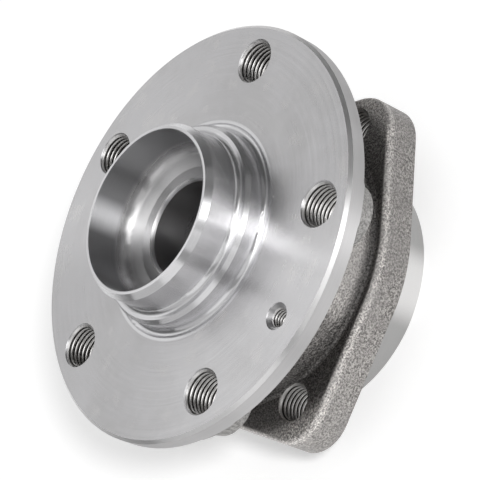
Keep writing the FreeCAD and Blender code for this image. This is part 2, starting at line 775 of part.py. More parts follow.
case_front = outer_front - S.outboard_case_inset
case_rear = case_front - S.outboard_case_length
wall_rear = case_front - S.case_sheet
outboard_case = turned("outboard_seal_case", [
    corner(S.outboard_case_inner_radius, case_front),
    corner(S.outboard_case_inner_radius, wall_rear),
    corner(S.outboard_seat_radius - S.case_sheet, wall_rear),
    corner(S.outboard_seat_radius - S.case_sheet, case_rear),
    corner(S.outboard_seat_radius, case_rear),
    corner(S.outboard_seat_radius, case_front - S.lip_edge),
    corner(S.outboard_seat_radius - S.lip_edge, case_front),
])

lip_foot = S.outboard_case_inner_radius - S.lip_body_width
land_tip = S.seal_land_radius + S.lip_gap
face_tip = back - S.lip_gap
outboard_lip = turned("outboard_seal_lip", [
    corner(S.outboard_case_inner_radius, wall_rear),
    corner(S.outboard_case_inner_radius, case_front),
    corner(S.outboard_face_lip_radius, face_tip - S.lip_edge),
    corner(S.outboard_face_lip_radius - S.lip_edge, face_tip),
    corner(lip_foot + S.lip_edge * 2, case_front + S.lip_edge),
    corner(lip_foot, case_front),
    corner(land_tip + S.lip_edge, case_front - S.outboard_lip_reach + S.lip_edge * 2),
    corner(land_tip, case_front - S.outboard_lip_reach),
    corner(land_tip + S.lip_edge, case_front - S.outboard_lip_reach - S.lip_edge),
    corner(lip_foot, wall_rear - S.lip_edge * 2),
])

# Inboard seal: case, lip, slinger on the inner ring, and the encoder ring on the slinger

slinger_rear = ring_rear + S.slinger_inset
slinger_face = slinger_rear + S.slinger_sheet
slinger_sleeve = shoulder + S.slinger_sheet
slinger = turned("inboard_slinger", [
    corner(shoulder, slinger_rear + S.slinger_inset),
    corner(shoulder + S.slinger_inset, slinger_rear),
    corner(S.slinger_radius, slinger_rear),
    corner(S.slinger_radius, slinger_face),
    corner(slinger_sleeve, slinger_face),
    corner(slinger_sleeve, slinger_rear + S.slinger_length),
    corner(shoulder, slinger_rear + S.slinger_length),
])

encoder = turned("magnetic_encoder_ring", [
    corner(S.encoder_inner_radius, slinger_rear),
    corner(S.encoder_inner_radius, slinger_rear - S.encoder_thickness),
    corner(S.slinger_radius - S.slinger_inset, slinger_rear - S.encoder_thickness),
    corner(S.slinger_radius, slinger_rear - S.encoder_thickness + S.slinger_inset),
    corner(S.slinger_radius, slinger_rear),
])

inner_case_rear = outer_rear + S.inboard_case_inset
inner_case_front = inner_case_rear + S.inboard_case_length
inner_wall_rear = inner_case_front - S.case_sheet
inboard_case = turned("inboard_seal_case", [
    corner(S.inboard_case_inner_radius, inner_case_front),
    corner(S.inboard_case_inner_radius, inner_wall_rear),
    corner(S.inboard_seat_radius - S.case_sheet, inner_wall_rear),
    corner(S.inboard_seat_radius - S.case_sheet, inner_case_rear),
    corner(S.inboard_seat_radius, inner_case_rear),
    corner(S.inboard_seat_radius, inner_case_front - S.lip_edge),
    corner(S.inboard_seat_radius - S.lip_edge, inner_case_front),
])

sleeve_tip = slinger_sleeve + S.lip_gap
slinger_tip = slinger_face + S.lip_gap
inner_foot = S.inboard_case_inner_radius - S.lip_body_width * 0.5
inboard_lip = turned("inboard_seal_lip", [
    corner(S.inboard_case_inner_radius, inner_case_front),
    corner(inner_foot, inner_case_front),
    corner(sleeve_tip + S.lip_edge, inner_wall_rear - S.lip_edge),
    corner(sleeve_tip, inner_wall_rear - S.lip_edge * 2),
    corner(sleeve_tip + S.lip_edge, slinger_tip + S.lip_edge * 2),
    corner(inner_foot - S.lip_edge, inner_wall_rear - S.lip_edge),
    corner(inner_foot, inner_wall_rear - S.lip_edge * 2),
    corner(S.inboard_face_lip_radius - S.lip_edge, slinger_tip),
    corner(S.inboard_face_lip_radius, slinger_tip + S.lip_edge),
    corner(S.inboard_case_inner_radius, inner_wall_rear),
])

# Balls and their cages

BALL_PITCH = FULL_TURN / BALLS_IN_ROW


def ball_at(name, row, degrees):
    ball = doc.addObject("Part::Sphere", name)
    ball.Label = name
    ball.setExpression("Radius", S.ball_radius.text)
    ball.setExpression("Placement.Base.x", "%s * cos(%.6f deg)" % (S.pitch_radius.text, degrees))
    ball.setExpression("Placement.Base.y", "%s * sin(%.6f deg)" % (S.pitch_radius.text, degrees))
    ball.setExpression("Placement.Base.z", row.text)
    return ball


def crown_cage(name, row, open_side, first_angle):
    """A ring on the inner side of its row, with fingers between the balls; the pockets are
    spheres that open towards the seal and snap round the balls."""
    body = new_body(name)
    pocket_radius = S.ball_radius + S.cage_pocket_gap
    back_reach = pocket_radius + S.cage_back_wall
    inner = S.pitch_radius - S.cage_inner_drop
    outside = S.pitch_radius + S.cage_outer_rise
    if open_side > 0:
        tip_z = row + S.cage_finger_reach
        back_z = row - back_reach
        low, high = back_z, tip_z
    else:
        tip_z = row - S.cage_finger_reach
        back_z = row + back_reach
        low, high = tip_z, back_z
    section = new_sketch(body, name + "_section", "XZ_Plane")
    draw_path(section, [
        corner(inner, low),
        corner(outside, low),
        corner(outside, high),
        corner(inner, high),
    ])
    turn_about(body, "Revolution", name + "_ring", section, "V_Axis")
    volume_before = body.Shape.Volume
    pocket = new_sketch(body, name + "_pocket", "XZ_Plane", first_angle)
    top = FreeCAD.Vector(S.pitch_radius.value, row.value + pocket_radius.value, 0)
    foot = FreeCAD.Vector(S.pitch_radius.value, row.value - pocket_radius.value, 0)
    middle = FreeCAD.Vector(S.pitch_radius.value, row.value, 0)
    half_circle, forward = arc_between(foot, top + FreeCAD.Vector(CLOSE * CLOSE, 0, 0), middle,
                                       pocket_radius.value)
    arc = pocket.addGeometry(half_circle, False)
    chord = pocket.addGeometry(Part.LineSegment(top, foot), False)
    pocket.addConstraint(Sketcher.Constraint("Coincident", arc, 2, chord, 1))
    pocket.addConstraint(Sketcher.Constraint("Coincident", arc, 1, chord, 2))
    pocket.addConstraint(Sketcher.Constraint("Vertical", chord))
    pocket.addConstraint(Sketcher.Constraint("PointOnObject", arc, 3, chord))
    bind(pocket, Sketcher.Constraint("Radius", arc, pocket_radius.value), pocket_radius, "ball")
    bind(pocket, Sketcher.Constraint(
        "DistanceX", -1, 1, arc, 3, S.pitch_radius.value), S.pitch_radius, "pitch")
    bind(pocket, Sketcher.Constraint("DistanceY", -1, 1, arc, 3, row.value), row, "row")
    line = pocket.addGeometry(Part.LineSegment(foot, top), True)
    pocket.addConstraint(Sketcher.Constraint("Coincident", line, 1, chord, 2))
    pocket.addConstraint(Sketcher.Constraint("Coincident", line, 2, chord, 1))
    cut = turn_about(body, "Groove", name + "_pocket_cut", pocket, "Axis0")
    ring_of(body, name + "_pockets", cut, BALLS_IN_ROW)
    must_shrink(volume_before, body, name + " pockets")
    return body


outboard_balls = []
inboard_balls = []
for ball_number in range(BALLS_IN_ROW):
    outboard_angle = BALL_PITCH * ball_number
    inboard_angle = BALL_PITCH * (ball_number + 0.5)
    outboard_balls.append(ball_at("outboard_ball_%02d" % (ball_number + 1), row_out, outboard_angle))
    inboard_balls.append(ball_at("inboard_ball_%02d" % (ball_number + 1), row_in, inboard_angle))
outboard_cage = crown_cage("outboard_cage", row_out, 1, 0.0)
inboard_cage = crown_cage("inboard_cage", row_in, -1, BALL_PITCH / 2)

# Checks, then one file for each piece

doc.recompute()
for item in doc.Objects:
    if "Invalid" in item.State or "Error" in item.State:
        raise ValueError("%s is in state %s" % (item.Name, item.State))
pieces = [hub, inner_ring, outer, outboard_case, outboard_lip, slinger, encoder,
          inboard_case, inboard_lip, outboard_cage, inboard_cage]
pieces += outboard_balls
pieces += inboard_balls
for piece in pieces:
    shape = piece.Shape
    if shape.isNull() or not shape.isValid() or len(shape.Solids) != 1:
        raise ValueError("%s has no sound solid" % piece.Label)
for piece in pieces:
    piece.Shape.exportStep("parts/%s.step" % piece.Label)
    print(piece.Label, round(piece.Shape.Volume, 1))
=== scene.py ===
from collections import namedtuple
import bmesh
import bpy
import json
import math
from mathutils import Matrix, Vector


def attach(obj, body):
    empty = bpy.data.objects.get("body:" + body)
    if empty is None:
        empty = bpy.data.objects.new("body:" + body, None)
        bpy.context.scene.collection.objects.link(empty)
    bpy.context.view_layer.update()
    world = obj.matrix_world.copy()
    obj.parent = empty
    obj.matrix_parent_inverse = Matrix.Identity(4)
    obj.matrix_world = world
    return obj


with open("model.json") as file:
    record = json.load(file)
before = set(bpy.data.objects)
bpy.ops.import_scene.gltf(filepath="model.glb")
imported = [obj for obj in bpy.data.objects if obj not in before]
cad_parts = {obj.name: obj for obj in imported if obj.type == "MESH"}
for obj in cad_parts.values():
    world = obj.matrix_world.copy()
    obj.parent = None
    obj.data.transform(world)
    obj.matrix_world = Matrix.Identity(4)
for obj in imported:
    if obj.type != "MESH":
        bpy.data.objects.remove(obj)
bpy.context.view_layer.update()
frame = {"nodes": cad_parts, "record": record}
nodes = frame["nodes"]
MM = 0.001


def add_object(name, data):
    item = bpy.data.objects.new(name, data)
    bpy.context.collection.objects.link(item)
    return item


# Node graphs

# Nearly all of a noise lies between these two values
NOISE_LOW = 0.3
NOISE_HIGH = 0.7


class Graph:
    """A node tree, with short calls for the nodes used here."""

    def __init__(self, tree):
        self.tree = tree

    def node(self, kind, **settings):
        node = self.tree.nodes.new("ShaderNode" + kind)
        for name, value in settings.items():
            setattr(node, name, value)
        return node

    def join(self, source, target):
        self.tree.links.new(source, target)

    def feed(self, socket, value):
        """Sets a number or a colour on the socket itself, and links anything else to it."""
        if isinstance(value, (int, float)):
            socket.default_value = value
        elif isinstance(value, tuple):
            socket.default_value = (*value, 1.0) if len(socket.default_value) == 4 else value
        else:
            self.join(value, socket)

    def math(self, operation, first, second=0.0):
        node = self.node("Math", operation=operation)
        self.feed(node.inputs[0], first)
        self.feed(node.inputs[1], second)
        return node.outputs[0]

    def times(self, first, *others):
        for other in others:
            first = self.math("MULTIPLY", first, other)
        return first

    def add(self, first, second):
        return self.math("ADD", first, second)

    def most(self, first, second):
        return self.math("MAXIMUM", first, second)

    def rest(self, share):
        return self.math("SUBTRACT", 1.0, share)

    def step(self, value, low, high):
        """0 below low and 1 above high, with a smooth ramp between."""
        node = self.node("MapRange", interpolation_type="SMOOTHSTEP")
        self.feed(node.inputs["Value"], value)
        node.inputs["From Min"].default_value = low
        node.inputs["From Max"].default_value = high
        return node.outputs["Result"]

    def below(self, value, low, high):
        """1 below low and 0 above high, with a smooth ramp between."""
        return self.rest(self.step(value, low, high))

    def spread(self, value, low, high, to_low, to_high):
        """The value's range from low to high, stretched from to_low to to_high."""
        node = self.node("MapRange")
        self.feed(node.inputs["Value"], value)
        for name, number in (("From Min", low), ("From Max", high),
                             ("To Min", to_low), ("To Max", to_high)):
            node.inputs[name].default_value = number
        return node.outputs["Result"]

    def vary(self, noise, low, high):
        """A noise stretched from low to high."""
        return self.spread(noise, NOISE_LOW, NOISE_HIGH, low, high)

    def blend(self, share, first, second):
        """From the first colour to the second, as the share goes from 0 to 1."""
        node = self.node("Mix", data_type="RGBA")
        self.feed(node.inputs[0], share)
        self.feed(node.inputs[6], first)
        self.feed(node.inputs[7], second)
        return node.outputs[2]

    def level(self, share, first, second):
        """From the first number to the second, as the share goes from 0 to 1."""
        node = self.node("Mix")
        self.feed(node.inputs[0], share)
        self.feed(node.inputs[2], first)
        self.feed(node.inputs[3], second)
        return node.outputs[0]

    def tint(self, colour, factor):
        """The colour times a number."""
        node = self.node("Mix", data_type="RGBA", blend_type="MULTIPLY")
        node.inputs[0].default_value = 1.0
        self.feed(node.inputs[6], colour)
        grey = self.node("CombineColor")
        for socket in grey.inputs[:3]:
            self.feed(socket, factor)
        self.join(grey.outputs[0], node.inputs[7])
        return node.outputs[2]

    def vector(self, x, y, z):
        node = self.node("CombineXYZ")
        for socket, value in zip(node.inputs, (x, y, z)):
            self.feed(socket, value)
        return node.outputs[0]

    def axes(self, vector):
        node = self.node("SeparateXYZ")
        self.join(vector, node.inputs[0])
        return node.outputs

    def noise(self, vector, scale, detail, roughness):
        node = self.node("TexNoise")
        node.inputs["Scale"].default_value = scale
        node.inputs["Detail"].default_value = detail
        node.inputs["Roughness"].default_value = roughness
        self.join(vector, node.inputs["Vector"])
        return node.outputs["Fac"]

    def cells(self, vector, scale):
        node = self.node("TexVoronoi")
        node.inputs["Scale"].default_value = scale
        self.join(vector, node.inputs["Vector"])
        return node.outputs["Distance"]


class Surface(Graph):
    """A material on a piece. Its textures are fixed to the piece and measured in millimetres."""

    def __init__(self, name, metallic=0.0):
        self.material = bpy.data.materials.new(name)
        self.material.use_nodes = True
        super().__init__(self.material.node_tree)
        self.tree.nodes.clear()
        self.shader = self.node("BsdfPrincipled")
        self.shader.inputs["Metallic"].default_value = metallic
        self.join(self.shader.outputs[0], self.node("OutputMaterial").inputs[0])

    def point(self):
        coordinates = self.node("TexCoord")
        scale = self.node("VectorMath", operation="SCALE")
        scale.inputs["Scale"].default_value = 1.0 / MM
        self.join(coordinates.outputs["Object"], scale.inputs[0])
        return scale.outputs[0]

    def polar(self, x, y):
        """The distance from the spin axis, and the turn round it."""
        radius = self.math("SQRT", self.add(self.times(x, x), self.times(y, y)))
        return radius, self.math("ARCTAN2", y, x)

    def bump(self, height, distance, strength, under=None):
        node = self.node("Bump")
        node.inputs["Strength"].default_value = strength
        node.inputs["Distance"].default_value = distance
        self.join(height, node.inputs["Height"])
        if under is not None:
            self.join(under, node.inputs["Normal"])
        return node.outputs[0]

    def turned_grain(self, amount):
        """Lathe marks run round the spin axis, so light spreads across them."""
        self.shader.inputs["Anisotropic"].default_value = amount
        self.shader.inputs["Anisotropic Rotation"].default_value = 0.25
        tangent = self.node("Tangent", direction_type="RADIAL", axis="Z")
        self.join(tangent.outputs[0], self.shader.inputs["Tangent"])

    def finish(self, colour, roughness, normal=None):
        self.feed(self.shader.inputs["Base Color"], colour)
        self.feed(self.shader.inputs["Roughness"], roughness)
        if normal is not None:
            self.join(normal, self.shader.inputs["Normal"])
        return self.material


def turning_marks(graph, radius, height, turn, scale):
    """Fine rings cut by the lathe: they change across the tool's path and hardly along it."""
    drift = graph.times(turn, 0.35)
    across = graph.vector(radius, height, drift)
    return graph.noise(across, scale, 3.0, 0.65)


def highlight_bands(graph, turn, middle, low, high):
    """Three painted highlight bands round a turned wall."""
    swing = graph.times(graph.math("SUBTRACT", turn, math.radians(middle)), 3.0)
    return graph.step(graph.math("COSINE", swing), low, high)


# Wheel hub: turned flange face, polished pilot and recess, dark bore, plainer back. The recess is
# darkened with painted shade and has painted highlight bands, one of them where the photograph is
# brightest; its cove and the rim's bevel carry painted highlights. Radii and heights are in
# millimetres here, and height 0 is the flange face.

FACE_COLOUR = (0.60, 0.595, 0.605)
STAIN_COLOUR = (0.565, 0.56, 0.565)
SMEAR_COLOUR = (0.63, 0.622, 0.625)
FACE_ROUGH = 0.25
FORGED_DARK = (0.22, 0.215, 0.21)
FORGED_LIGHT = (0.46, 0.45, 0.44)
# Where one of the recess's painted highlight bands has its middle, in degrees
RECESS_HIGHLIGHT = 101.0


def hub_zones(graph, radius, height, turn):
    """Where each finish, painted highlight and painted shade of the hub lies: 1 inside, 0 outside,
    by radius and height.
    """
    rim = graph.step(radius, 66.75, 67.0)
    raised = graph.step(height, 0.15, 0.6)
    foot = graph.times(graph.below(radius, 35.6, 36.2), graph.step(height, -1.2, -0.4))
    recess = graph.times(graph.step(height, 1.2, 1.8), graph.below(radius, 26.05, 26.3))
    outside_bore = graph.step(radius, 15.7, 16.2)
    back = graph.times(graph.below(height, -6.4, -5.9), outside_bore)
    behind_flange = graph.below(height, -6.6, -6.2)
    return {
        "rim": rim,
        "below face": graph.times(graph.below(height, -0.3, -0.1), graph.step(radius, 45.0, 46.0)),
        "bevel highlight": graph.times(rim, graph.step(height, -1.05, -0.95)),
        "polished": graph.most(raised, foot),
        "recess": recess,
        "recess highlights": graph.times(recess, highlight_bands(graph, turn, RECESS_HIGHLIGHT, 0.72, 0.95)),
        "cove highlight": graph.times(recess, graph.below(height, 7.0, 9.0)),
        "back": back,
        "darker inner back": graph.times(back, behind_flange, graph.below(radius, 43.0, 44.5)),
        "bore": graph.rest(outside_bore),
    }


def hub_relief(graph, zones, fine, coarse, skin):
    """Lathe marks, faint where the steel is polished, and the forging's skin on the back."""
    marked = graph.level(zones["polished"], 1.0, 0.06)
    normal = graph.bump(graph.times(fine, marked), 0.000008, 0.35)
    normal = graph.bump(graph.times(coarse, marked), 0.00002, 0.12, normal)
    return graph.bump(graph.times(skin, zones["back"]), 0.0003, 0.6, normal)


def hub_material():
    graph = Surface("turned_hub_steel", metallic=1.0)
    point = graph.point()
    x, y, height = graph.axes(point)
    radius, turn = graph.polar(x, y)
    zones = hub_zones(graph, radius, height, turn)
    fine = turning_marks(graph, radius, height, turn, 5.5)
    coarse = turning_marks(graph, radius, height, turn, 0.9)
    stains = graph.noise(point, 0.035, 4.0, 0.62)
    smears = graph.noise(point, 0.11, 3.0, 0.55)
    skin = graph.noise(point, 1.3, 3.0, 0.65)

    colour = graph.blend(graph.step(stains, 0.40, 0.66), FACE_COLOUR, STAIN_COLOUR)
    colour = graph.blend(graph.step(smears, 0.52, 0.72), colour, SMEAR_COLOUR)
    rough = FACE_ROUGH
    forged = graph.blend(graph.step(skin, 0.36, 0.64), FORGED_DARK, FORGED_LIGHT)
    # Each zone covers those before it. None keeps the colour or the roughness under it.
    for zone, zone_colour, zone_rough in (
            ("rim", (0.62, 0.612, 0.615), 0.30),
            ("below face", None, 0.44),
            # Painted highlight: the rim's bevel is lighter than the rim
            ("bevel highlight", (0.82, 0.812, 0.815), 0.30),
            ("polished", (0.755, 0.752, 0.765), 0.20),
            # Painted shade: the recess is darker than the polished steel around it
            ("recess", (0.44, 0.44, 0.45), 0.40),
            # Painted highlight bands on the recess wall
            ("recess highlights", (0.84, 0.84, 0.855), None),
            # Painted highlight on the cove at the foot of the recess
            ("cove highlight", (0.66, 0.655, 0.66), 0.26),
            ("back", forged, 0.38),
            # Darker on the back within about 44 mm of the axis, behind the flange
            ("darker inner back", (0.32, 0.31, 0.305), None),
            ("bore", (0.39, 0.385, 0.39), 0.30)):
        if zone_colour is not None:
            colour = graph.blend(zones[zone], colour, zone_colour)
        if zone_rough is not None:
            rough = graph.level(zones[zone], rough, zone_rough)
    colour = graph.tint(colour, graph.vary(fine, 0.955, 1.03))

    uneven = graph.add(graph.vary(coarse, -0.02, 0.02), graph.vary(smears, -0.015, 0.02))
    rough = graph.add(rough, graph.times(uneven, graph.level(zones["polished"], 1.0, 0.2)))

    graph.turned_grain(1.0)
    return graph.finish(colour, rough, hub_relief(graph, zones, fine, coarse, skin))


# Outer ring: blasted forging, with the spigot, mounting face and front end turned. The spigot has
# painted highlight bands too, and one stands where the photograph is brightest. The forging carries
# painted light and painted shade from place to place.

GRAIN_DARK = (0.15, 0.143, 0.137)
GRAIN_LIGHT = (0.71, 0.68, 0.658)
WORN_COLOUR = (0.35, 0.338, 0.33)
TURNED_COLOUR = (0.40, 0.3975, 0.395)
# The colour of the spigot's painted highlight bands
HIGHLIGHT_COLOUR = (0.74, 0.735, 0.73)
TURNED_ROUGH = 0.27
# The forging's plain tone, and what its painted light and painted highlight add
PLAIN_TONE = 0.83
PAINTED_LIGHT_TONE = 0.50
# Where one of the spigot's painted highlight bands has its middle, in degrees
SPIGOT_HIGHLIGHT = -78.0


def forging_light_and_shade(graph, x, height, radius, grains):
    """Painted light and shade on the forging, with edges that follow its grains: painted shade on
    the flange's front face and in the corner behind the hub flange, painted light on the lobes' tips
    and the upper neck, and a painted highlight along the flange's front edge. The whole forging also
    grows darker towards +x.
    """
    ragged = graph.add(height, graph.vary(grains, -0.12, 0.12))
    # Painted shade on the flange's front face, which gives way to painted light at the lobes' tips
    face = graph.times(graph.step(ragged, -34.1, -33.84), graph.step(radius, 47.0, 47.6))
    lit_tips = graph.times(face, graph.step(radius, 54.5, 60.5))
    shaded_front = graph.math("SUBTRACT", face, lit_tips)

    # A painted highlight along the flange's front edge
    ragged = graph.add(height, graph.vary(grains, -0.5, 0.5))
    beside_face = graph.math("SUBTRACT", graph.step(radius, 47.4, 48.2), face)
    ridge_highlight = graph.most(graph.times(graph.step(ragged, -37.4, -35.2), beside_face), 0.0)

    # Painted shade in the corner behind the hub flange, and painted light on the upper neck
    neck = graph.below(radius, 46.8, 47.4)
    upper = graph.step(x, -16.0, -6.0)
    open_wall = graph.level(upper, graph.step(height, -33.5, -18.0),
                            graph.step(height, -32.8, -29.0))
    corner = graph.times(graph.step(height, -36.0, -35.0), graph.rest(open_wall))
    hollow_shade = graph.times(neck, corner)
    painted_neck_light = graph.times(neck, open_wall, graph.times(upper, 0.6))

    # The painted shade is deeper on dark grains; the painted light lifts the plain tone
    painted_shade = graph.times(graph.most(shaded_front, hollow_shade), graph.vary(grains, 0.68, 0.36))
    light = graph.most(painted_neck_light, graph.most(ridge_highlight, lit_tips))
    tone = graph.add(PLAIN_TONE, graph.times(light, PAINTED_LIGHT_TONE))
    across = graph.spread(x, -50.0, 50.0, 1.10, 0.82)
    return graph.times(tone, graph.times(graph.rest(painted_shade), across))


def forging_material():
    graph = Surface("blasted_forging", metallic=1.0)
    point = graph.point()
    x, y, height = graph.axes(point)
    radius, turn = graph.polar(x, y)
    grains = graph.noise(point, 1.65, 3.0, 0.75)
    pits = graph.cells(point, 1.5)
    lumps = graph.noise(point, 0.16, 4.0, 0.6)
    patches = graph.noise(point, 0.05, 3.0, 0.55)
    fine = turning_marks(graph, radius, height, turn, 4.0)

    spigot = graph.below(height, -46.42, -46.22)
    front_end = graph.step(height, -16.6, -16.3)
    races = graph.below(radius, 39.6, 40.0)
    turned = graph.most(spigot, graph.most(front_end, races))

    colour = graph.blend(graph.step(grains, 0.34, 0.66), GRAIN_DARK, GRAIN_LIGHT)
    worn = graph.times(graph.step(patches, 0.42, 0.68), 0.5)
    colour = graph.blend(worn, colour, WORN_COLOUR)
    colour = graph.tint(colour, graph.spread(pits, 0.0, 0.7, 0.72, 1.10))
    # Painted light and painted shade from place to place on the forging
    colour = graph.tint(colour, forging_light_and_shade(graph, x, height, radius, grains))
    machined = graph.tint(TURNED_COLOUR, graph.vary(fine, 0.96, 1.03))
    # Painted highlight bands round the spigot
    spigot_highlights = graph.times(highlight_bands(graph, turn, SPIGOT_HIGHLIGHT, 0.50, 0.98), spigot)
    machined = graph.blend(spigot_highlights, machined, HIGHLIGHT_COLOUR)
    colour = graph.blend(turned, colour, machined)
    rough = graph.level(turned, graph.vary(grains, 0.38, 0.60), TURNED_ROUGH)

    blasted = graph.rest(turned)
    skin = graph.add(graph.times(grains, 0.55), graph.times(pits, 0.45))
    normal = graph.bump(graph.times(skin, blasted), 0.00045, 0.9)
    normal = graph.bump(graph.times(lumps, blasted), 0.0009, 0.35, normal)
    normal = graph.bump(graph.times(fine, turned), 0.00001, 0.5, normal)
    return graph.finish(colour, rough, normal)


# The other finishes

def cut_material(name, clean, dull, rough):
    """Steel as a tap or a countersink leaves it, with smears of oil."""
    graph = Surface(name, metallic=1.0)
    smears = graph.noise(graph.point(), 0.6, 3.0, 0.6)
    colour = graph.blend(graph.step(smears, 0.35, 0.7), clean, dull)
    return graph.finish(colour, graph.vary(smears, rough, rough + 0.1))


def root_shade_material():
    """Painted shade at the bottom of a thread."""
    graph = Surface("thread_root_shade", metallic=1.0)
    mottle = graph.noise(graph.point(), 0.8, 2.0, 0.6)
    colour = graph.blend(graph.step(mottle, 0.35, 0.7), (0.055, 0.052, 0.05), (0.10, 0.096, 0.093))
    return graph.finish(colour, graph.vary(mottle, 0.34, 0.45))


def ground_material(name, colour, rough, marks):
    """Ground or pressed steel with rings of its own tool."""
    graph = Surface(name, metallic=1.0)
    point = graph.point()
    x, y, height = graph.axes(point)
    radius, turn = graph.polar(x, y)
    fine = turning_marks(graph, radius, height, turn, marks)
    smears = graph.noise(point, 0.15, 3.0, 0.6)
    smeared = tuple(part * 0.9 for part in colour)
    shade = graph.blend(graph.step(smears, 0.4, 0.7), colour, smeared)
    shade = graph.tint(shade, graph.vary(fine, 0.95, 1.03))
    roughness = graph.add(rough, graph.vary(smears, -0.02, 0.05))
    graph.turned_grain(0.6)
    return graph.finish(shade, roughness, graph.bump(fine, 0.00001, 0.5))


def ball_material():
    graph = Surface("polished_ball_steel", metallic=1.0)
    mottle = graph.noise(graph.point(), 0.4, 2.0, 0.5)
    colour = graph.blend(graph.step(mottle, 0.35, 0.7), (0.82, 0.82, 0.83), (0.76, 0.76, 0.76))
    return graph.finish(colour, graph.vary(mottle, 0.06, 0.12))


def rubber_material(name, colour, rough):
    """Moulded rubber with a fine grain and a slight pale bloom."""
    graph = Surface(name)
    graph.shader.inputs["IOR"].default_value = 1.5
    point = graph.point()
    grain = graph.noise(point, 3.0, 3.0, 0.6)
    bloom = graph.noise(point, 0.12, 3.0, 0.6)
    bloomed = tuple(part * 1.9 + 0.01 for part in colour)
    shade = graph.blend(graph.step(bloom, 0.45, 0.75), colour, bloomed)
    roughness = graph.vary(grain, rough - 0.06, rough + 0.06)
    return graph.finish(shade, roughness, graph.bump(grain, 0.00004, 0.5))


def moulding_material():
    """Polyamide with glass fibres near its skin."""
    graph = Surface("glass_filled_moulding")
    graph.shader.inputs["IOR"].default_value = 1.53
    point = graph.point()
    fibres = graph.noise(point, 1.6, 4.0, 0.7)
    flow = graph.noise(point, 0.2, 2.0, 0.5)
    shade = graph.blend(graph.step(fibres, 0.4, 0.65), (0.165, 0.155, 0.135), (0.235, 0.22, 0.195))
    return graph.finish(shade, graph.vary(flow, 0.42, 0.55), graph.bump(fibres, 0.00003, 0.5))


FINISH_OF_SLOT = {
    "hub_steel": hub_material(),
    "forged_steel": forging_material(),
    "bearing_steel": ground_material("ground_bearing_steel", (0.68, 0.68, 0.68), 0.16, 6.0),
    "ball_steel": ball_material(),
    "seal_steel": ground_material("pressed_sheet_steel", (0.62, 0.62, 0.63), 0.26, 3.0),
    "seal_rubber": rubber_material("seal_rubber", (0.022, 0.022, 0.023), 0.58),
    "encoder_rubber": rubber_material("magnetised_rubber", (0.032, 0.028, 0.027), 0.40),
    "cage_polyamide": moulding_material(),
}
for subpart in frame["record"]["subparts"]:
    finish = FINISH_OF_SLOT[subpart["material_slot"]]
    for slot in nodes[subpart["node"]].material_slots:
        slot.material = finish


# Threads: a thin sleeve in each threaded hole, cut with the real pitch and profile. Lengths are
# in millimetres until the points go into the mesh.

# A threaded hole: its radius in the solid, the radius over the thread's crests, the pitch, and
# the heights of the sleeve's two ends, which stop a little short of the faces
Hole = namedtuple("Hole", "radius crest pitch top bottom")

WHEEL_HOLES = 5
KNUCKLE_HOLES = 3
BOLT_CIRCLE = 56.0
BOSS_BACK = -12.4
DISC_SCREW_ANGLE = -108.0
KNUCKLE_CIRCLE = 51.5
KNUCKLE_ANGLE = -18.25
KNUCKLE_FRONT = -33.8
KNUCKLE_BACK = -46.3
WHEEL_HOLE = Hole(7.0, 6.18, 1.5, -0.3, BOSS_BACK + 0.3)
KNUCKLE_HOLE = Hole(6.0, 5.19, 1.5, KNUCKLE_FRONT - 0.4, KNUCKLE_BACK + 0.4)
DISC_SCREW_HOLE = Hole(3.0, 2.46, 1.0, -1.25, -6.3)

# One pitch of an inside thread, from the middle of a root: share of the pitch, share of the depth
THREAD_PROFILE = [(0.0, 0.0), (0.06, 0.0), (0.11, 0.10), (0.24, 0.56), (0.34, 0.92), (0.39, 1.0),
                  (0.61, 1.0), (0.66, 0.92), (0.76, 0.56), (0.89, 0.10), (0.94, 0.0)]
# Points round the thread
AROUND = 96
# The sleeve's back lies this far into the solid, and its roots stand this far clear of the hole
BACK_DEPTH = 0.02
ROOT_GAP = 0.03
# How fast the countersink narrows, per millimetre down, and its gap to the hole at the top
LEAD_SLOPE = 0.62
LEAD_GAP = 0.01
# A face this near to the countersink's cone is part of it
LEAD_NEAR = 0.03
# Thread walls less deep than this share get the roots' painted shade
ROOT_SHADE_DEPTH = 0.45
# Points closer than this become one
SAME_POINT = 0.0005


def circle_point(form, radius, step, height):
    angle = math.tau * step / AROUND
    return form.verts.new((radius * math.cos(angle), radius * math.sin(angle), height))


def lead_radius(hole, height):
    """The countersink's cone."""
    return hole.radius - (hole.top - height) * LEAD_SLOPE


def thread_rows(form, hole, root):
    """Rows of points, each one pitch higher at its end. Both ends of the hole open up."""
    rows = []
    turns = int(math.ceil((hole.top - hole.bottom) / hole.pitch)) + 1
    for turn in range(turns):
        for share, depth in THREAD_PROFILE:
            row = []
            for step in range(AROUND):
                height = hole.top + hole.pitch * (step / AROUND - turn - share)
                height = min(hole.top, max(hole.bottom, height))
                lead = min(lead_radius(hole, height), hole.radius - LEAD_GAP)
                tail = root - (height - hole.bottom)
                wall = max(root - (root - hole.crest) * depth, lead, tail)
                row.append(circle_point(form, wall, step, height))
            rows.append(row)
    return rows


def join_rows(form, rows):
    """The thread's faces. A row's end meets the start of the row one pitch above it."""
    pitch_rows = len(THREAD_PROFILE)
    for index in range(len(rows) - 1):
        upper = rows[index]
        lower = rows[index + 1]
        for step in range(AROUND - 1):
            form.faces.new((upper[step], upper[step + 1], lower[step + 1], lower[step]))
        over = max(index - pitch_rows, 0)
        under = max(index + 1 - pitch_rows, 0)
        corners = [upper[-1], rows[over][0], rows[under][0], lower[-1]]
        if over == under:
            corners = [upper[-1], rows[over][0], lower[-1]]
        form.faces.new(corners)


def join_rings(form, first, second):
    for step in range(AROUND):
        after = (step + 1) % AROUND
        form.faces.new((first[step], first[after], second[after], second[step]))


